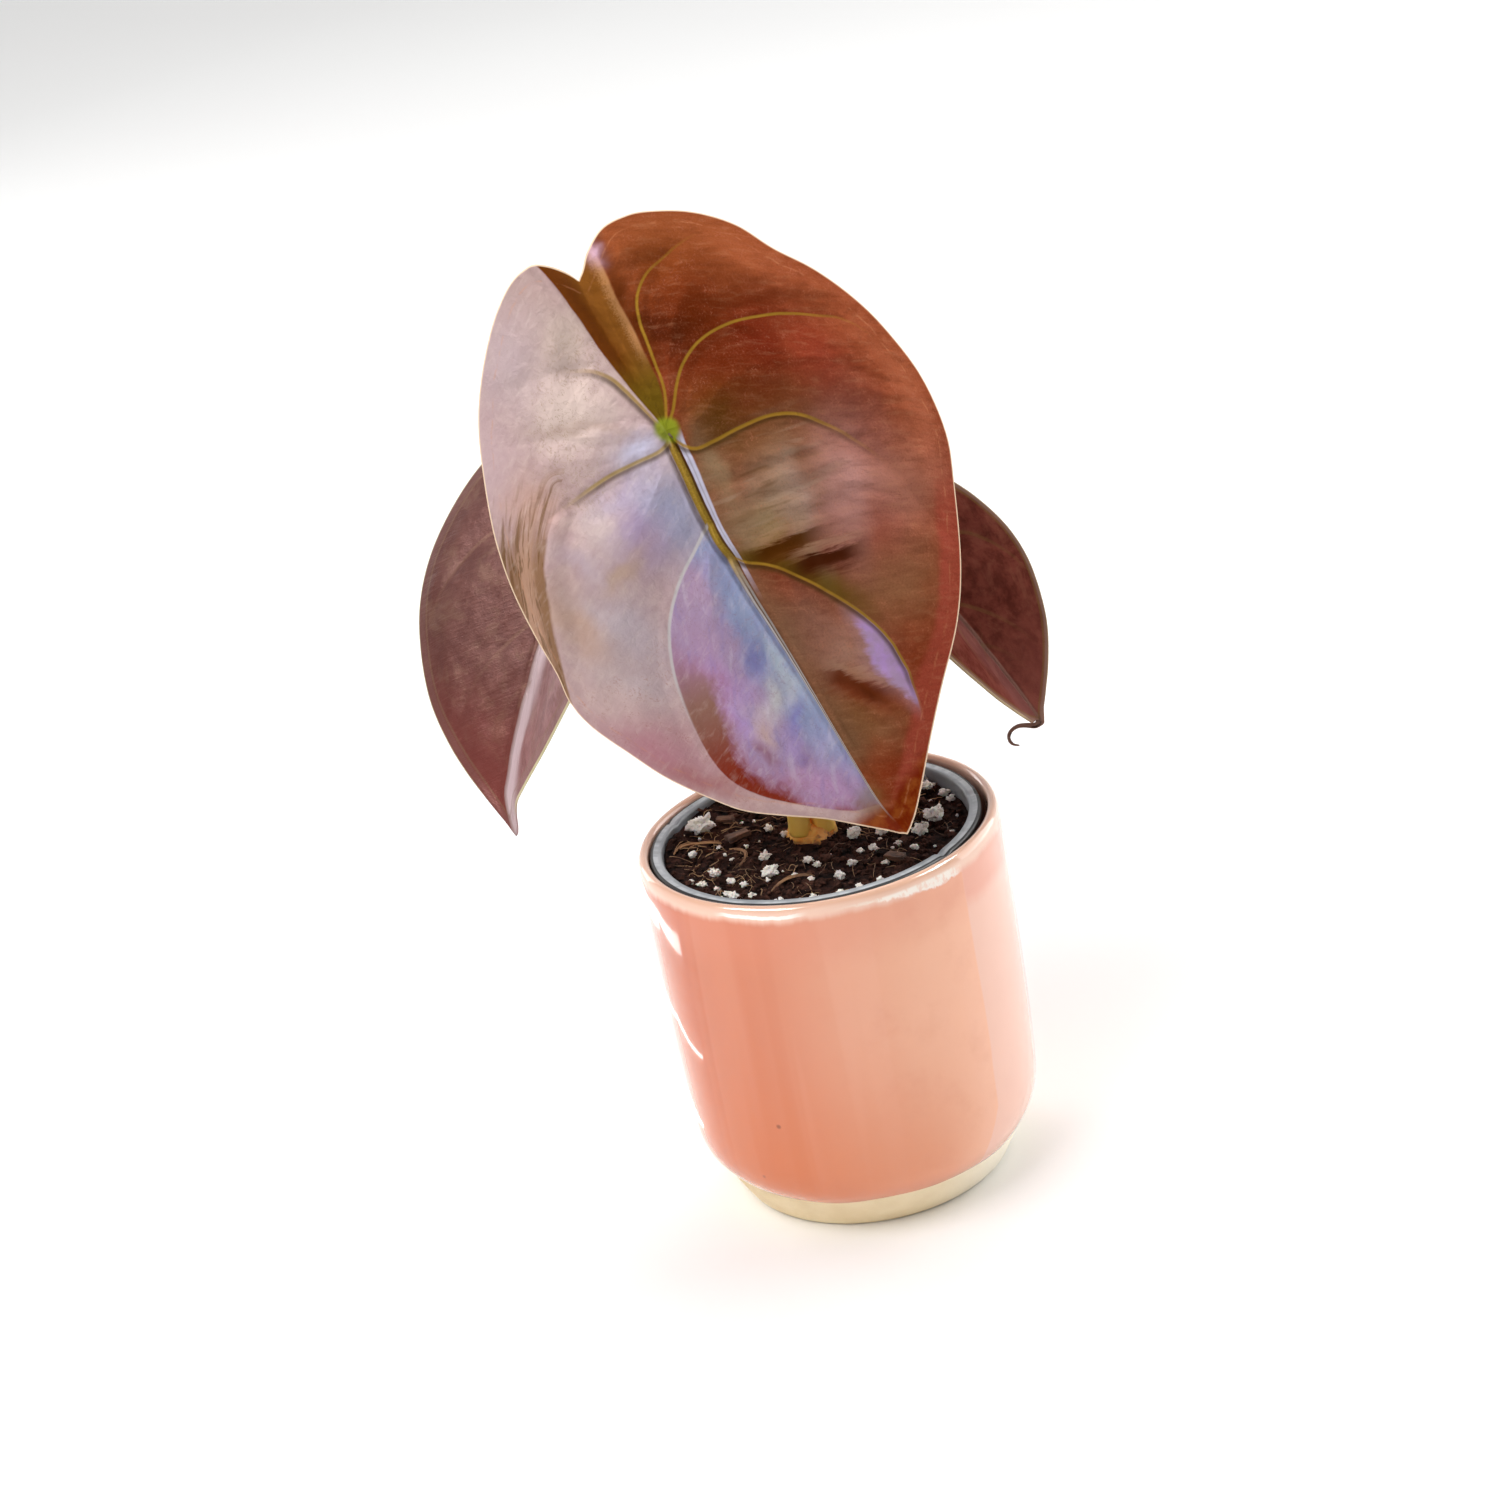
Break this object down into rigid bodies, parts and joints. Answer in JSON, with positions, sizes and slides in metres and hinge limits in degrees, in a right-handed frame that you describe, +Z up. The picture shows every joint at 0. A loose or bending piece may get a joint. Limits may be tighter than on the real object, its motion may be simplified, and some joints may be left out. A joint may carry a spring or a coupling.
{
  "type": "potted red secret alocasia",
  "caption": "Young aroid house plant with coppery shield-shaped leaves on arched stalks, rooted in a plastic nursery pot that stands in a pink glazed ceramic cover pot.",
  "frame": {"origin": "middle of the cover pot's flat foot, on the surface it stands on", "axes": "+Z up along the pot's axis; -Y is the side that the biggest leaf faces; +X is to the right seen from that side"},
  "size_m": [0.1239, 0.0907, 0.1963],
  "materials": {
    "cover_pot": "glossy salmon glaze over cream clay, bare at the foot",
    "nursery_pot": "frosted translucent grey plastic",
    "potting_mix": "moist dark peat",
    "perlite": "white porous grains",
    "bark": "rough dark bark",
    "coir": "dry tan fibre",
    "corm": "yellow-tan corm skin",
    "leaf_stalk": "olive and wine-red leaf stalk, satin",
    "leaf_blade": "coppery red-brown leaf with a lavender metallic sheen and olive veins"
  },
  "bodies": {
    "root": {"bark_chip_1": "bark", "bark_chip_2": "bark", "bark_chip_3": "bark", "bark_chip_4": "bark", "coir_fibre_1": "coir", "coir_fibre_2": "coir", "coir_fibre_3": "coir", "coir_fibre_4": "coir", "coir_fibre_5": "coir", "corm": "corm", "cover_pot": "cover_pot", "leaf_blade_front": "leaf_blade", "leaf_blade_left": "leaf_blade", "leaf_blade_right": "leaf_blade", "leaf_stalk_front": "leaf_stalk", "leaf_stalk_left": "leaf_stalk", "leaf_stalk_right": "leaf_stalk", "nursery_pot": "nursery_pot", "perlite_grain_1": "perlite", "perlite_grain_10": "perlite", "perlite_grain_11": "perlite", "perlite_grain_12": "perlite", "perlite_grain_13": "perlite", "perlite_grain_2": "perlite", "perlite_grain_3": "perlite", "perlite_grain_4": "perlite", "perlite_grain_5": "perlite", "perlite_grain_6": "perlite", "perlite_grain_7": "perlite", "perlite_grain_8": "perlite", "perlite_grain_9": "perlite", "potting_mix": "potting_mix"}
  },
  "joints": []
}
